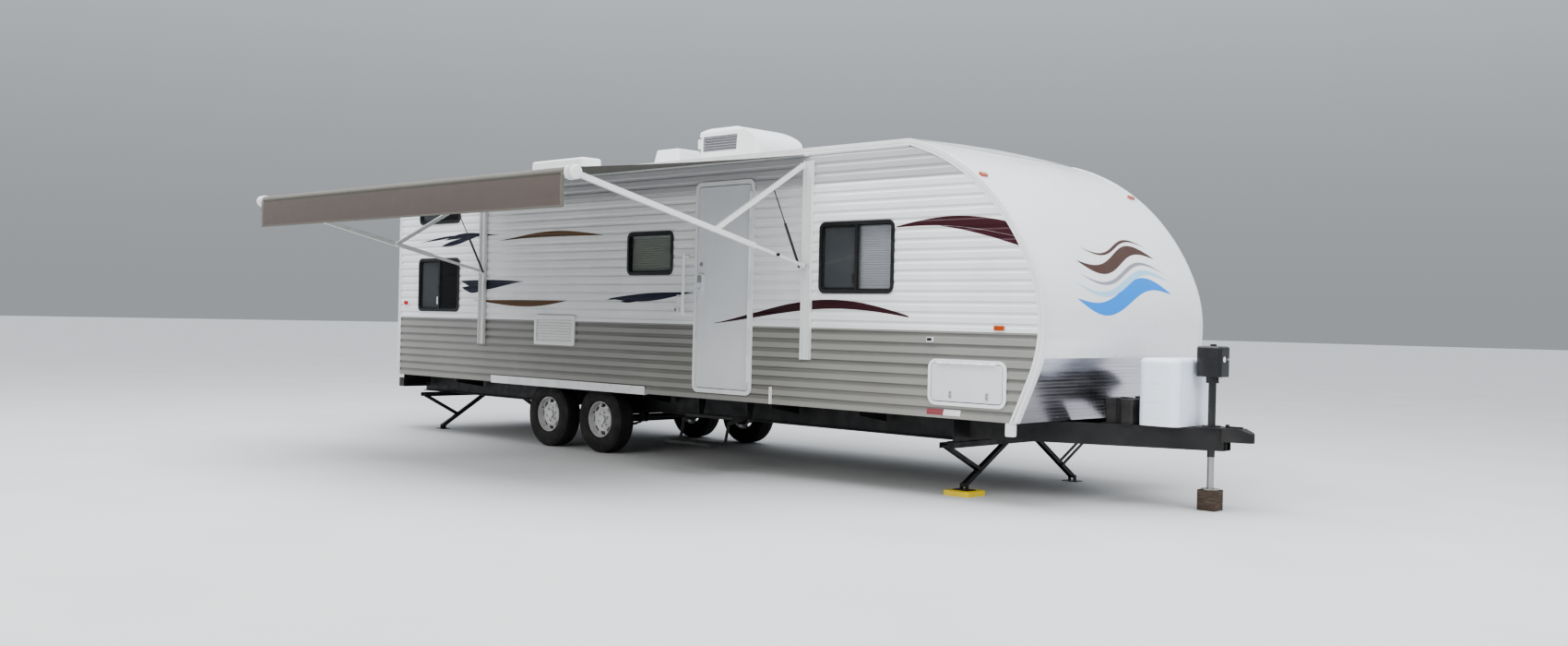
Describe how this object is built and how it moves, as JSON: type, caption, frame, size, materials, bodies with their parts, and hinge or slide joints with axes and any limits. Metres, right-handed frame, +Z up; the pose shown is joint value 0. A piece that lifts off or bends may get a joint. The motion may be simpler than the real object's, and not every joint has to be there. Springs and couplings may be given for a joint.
{
  "type": "travel trailer",
  "caption": "Travel trailer with ribbed siding, curved nose, side entry door, storage doors, folding step, tongue jack, stabilizer legs and an open side awning.",
  "frame": {"origin": "middle of the bounding box's footprint, on the ground", "axes": "+X forward to the hitch, +Y to the trailer's left, +Z up; the entry door and the awning are on the -Y side"},
  "size_m": [10.032, 4.9998, 3.26],
  "materials": {
    "chassis_black": "satin black chassis paint",
    "jack_black": "semi-gloss black",
    "plated_steel": "dull zinc plate",
    "timber": "rough sawn",
    "white_plastic": "smooth",
    "black_plastic": "moulded",
    "floor_board": "sheet with dark underside",
    "wall_board": "framed panel with light board",
    "siding_paint": "ribbed sheet, white above and grey below",
    "white_gelcoat": "gloss gelcoat",
    "chequer_plate": "bright chequered plate",
    "roof_membrane": "white membrane",
    "white_trim": "white paint",
    "window_black": "satin black",
    "tinted_glass": "dark tint",
    "door_white": "white paint",
    "spring_steel": "oiled spring steel",
    "yellow_plastic": "moulded",
    "amber_lens": "clear moulded lens",
    "red_lens": "clear moulded lens",
    "awning_white": "white paint",
    "awning_cloth": "coated woven cloth",
    "tyre_rubber": "black rubber",
    "wheel_white": "white paint"
  },
  "bodies": {
    "trailer": {"frame_rails": "chassis_black", "cross_members": "chassis_black", "rear_bumper": "chassis_black", "drawbar": "chassis_black", "coupler": "chassis_black", "tongue_jack": "jack_black", "jack_block": "timber", "drawbar_trays": "chassis_black", "gas_cover": "white_plastic", "battery_boxes": "black_plastic", "floor": "floor_board", "wheel_wells": "black_plastic", "holding_tanks": "black_plastic", "right_wall": "wall_board", "left_wall": "wall_board", "rear_wall": "wall_board", "siding": "siding_paint", "front_cap": "white_gelcoat", "rock_guard": "chequer_plate", "roof": "roof_membrane", "edge_trims": "white_trim", "window_frames": "window_black", "window_glass": "tinted_glass", "door_frames": "white_trim", "step_brackets": "chassis_black", "axles": "chassis_black", "leaf_springs": "spring_steel", "spring_hangers": "chassis_black", "stabilizer_beams": "chassis_black", "stabilizer_legs": "chassis_black", "level_pad": "yellow_plastic", "air_conditioner": "white_plastic", "roof_vents": "white_plastic", "wall_fittings": "white_plastic", "marker_lights": "amber_lens", "tail_lights": "red_lens", "awning_channels": "awning_white", "awning_arms": "awning_white", "awning_rafters": "awning_white", "awning_struts": "jack_black", "awning_roller": "awning_white", "awning_fabric": "awning_cloth"},
    "entry_door": {"entry_door": "door_white"},
    "storage_door_right": {"storage_door_right": "door_white"},
    "storage_door_left": {"storage_door_left": "door_white"},
    "jack_leg": {"jack_leg": "plated_steel"},
    "step_upper": {"step_upper": "chassis_black"},
    "step_lower": {"step_lower": "chassis_black"},
    "front_right_wheel": {"front_right_tyre": "tyre_rubber", "front_right_rim": "wheel_white"},
    "front_left_wheel": {"front_left_tyre": "tyre_rubber", "front_left_rim": "wheel_white"},
    "rear_right_wheel": {"rear_right_tyre": "tyre_rubber", "rear_right_rim": "wheel_white"},
    "rear_left_wheel": {"rear_left_tyre": "tyre_rubber", "rear_left_rim": "wheel_white"}
  },
  "joints": [
    {"name": "front_right_spin", "type": "hinge", "parent": "trailer", "child": "front_right_wheel", "pos_m": [-1.254, 0.255, 0.332], "axis": [0, 1, 0], "continuous": true},
    {"name": "front_left_spin", "type": "hinge", "parent": "trailer", "child": "front_left_wheel", "pos_m": [-1.254, 2.255, 0.332], "axis": [0, 1, 0], "continuous": true},
    {"name": "rear_right_spin", "type": "hinge", "parent": "trailer", "child": "rear_right_wheel", "pos_m": [-2.099, 0.255, 0.332], "axis": [0, 1, 0], "continuous": true},
    {"name": "rear_left_spin", "type": "hinge", "parent": "trailer", "child": "rear_left_wheel", "pos_m": [-2.099, 2.255, 0.332], "axis": [0, 1, 0], "continuous": true},
    {"name": "entry_door_hinge", "type": "hinge", "parent": "trailer", "child": "entry_door", "pos_m": [0.957, 0.019, 0.799], "axis": [0, 0, 1], "range_deg": [0, 110]},
    {"name": "storage_door_right_hinge", "type": "hinge", "parent": "trailer", "child": "storage_door_right", "pos_m": [3.028, 0.019, 1.056], "axis": [-1, 0, 0], "range_deg": [0, 95]},
    {"name": "storage_door_left_hinge", "type": "hinge", "parent": "trailer", "child": "storage_door_left", "pos_m": [3.028, 2.491, 1.056], "axis": [1, 0, 0], "range_deg": [0, 95]},
    {"name": "jack_slide", "type": "slide", "parent": "trailer", "child": "jack_leg", "axis": [0, 0, 1], "range_m": [0, 0.22]},
    {"name": "step_upper_hinge", "type": "hinge", "parent": "trailer", "child": "step_upper", "pos_m": [0.306, 0.09, 0.495], "axis": [1, 0, 0], "range_deg": [0, 170]},
    {"name": "step_lower_hinge", "type": "hinge", "parent": "step_upper", "child": "step_lower", "pos_m": [0.306, -0.14, 0.45], "axis": [-1, 0, 0], "range_deg": [0, 170]}
  ],
  "couplings": [
    {"joint": "step_lower_hinge", "follows": "step_upper_hinge", "ratio": 1}
  ]
}
